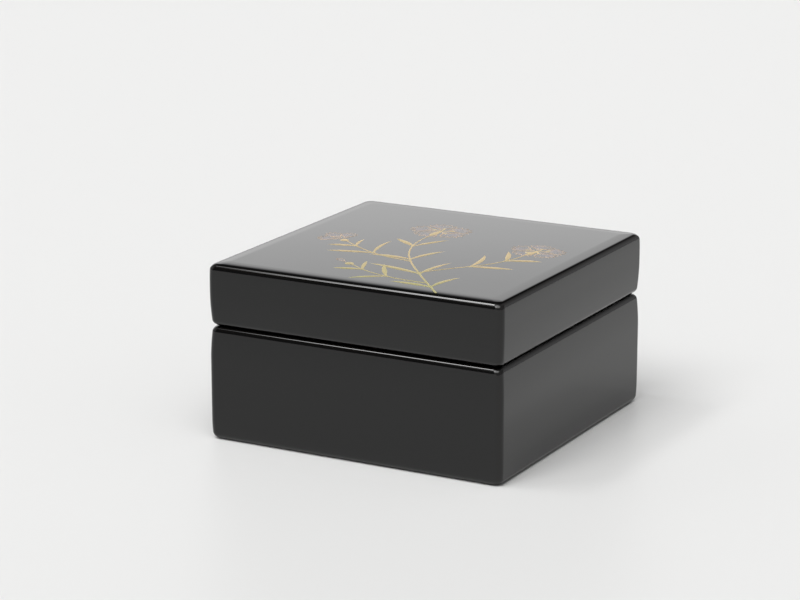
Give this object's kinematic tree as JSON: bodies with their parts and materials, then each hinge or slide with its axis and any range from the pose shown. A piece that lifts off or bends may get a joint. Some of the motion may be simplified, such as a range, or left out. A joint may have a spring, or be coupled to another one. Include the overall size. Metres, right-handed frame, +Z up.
{
  "type": "lidded lacquer box",
  "caption": "Square black lacquer box whose deep lift-off lid closes flush over a raised inner rim, for keeping sweets, incense or small treasures.",
  "frame": {"origin": "on the table, under the middle of the square box", "axes": "+Z up along the way the lid lifts; the face that the painted stem grows from looks along -Y; +X to the right"},
  "size_m": [0.12, 0.12, 0.067],
  "materials": {
    "black_lacquer": "black lacquer over wood, polished to a mirror",
    "key_wood": "bare planed wood, sealed inside the corners",
    "gold_powder": "sprinkled gold powder in lacquer, burnished"
  },
  "bodies": {
    "box": {"body_front_wall": "black_lacquer", "body_right_wall": "black_lacquer", "body_back_wall": "black_lacquer", "body_left_wall": "black_lacquer", "rim_front_board": "black_lacquer", "rim_right_board": "black_lacquer", "rim_back_board": "black_lacquer", "rim_left_board": "black_lacquer", "bottom_board": "black_lacquer", "body_key_front_left_1": "key_wood", "body_key_front_left_2": "key_wood", "body_key_front_right_1": "key_wood", "body_key_front_right_2": "key_wood", "body_key_back_right_1": "key_wood", "body_key_back_right_2": "key_wood", "body_key_back_left_1": "key_wood", "body_key_back_left_2": "key_wood"},
    "lid": {"lid_front_wall": "black_lacquer", "lid_right_wall": "black_lacquer", "lid_back_wall": "black_lacquer", "lid_left_wall": "black_lacquer", "lid_top_board": "black_lacquer", "lid_key_front_left_1": "key_wood", "lid_key_front_right_1": "key_wood", "lid_key_back_right_1": "key_wood", "lid_key_back_left_1": "key_wood"}
  },
  "joints": [
    {"name": "lid_lift", "type": "slide", "parent": "box", "child": "lid", "axis": [0, 0, 1], "range_m": [0, 0.08]}
  ]
}
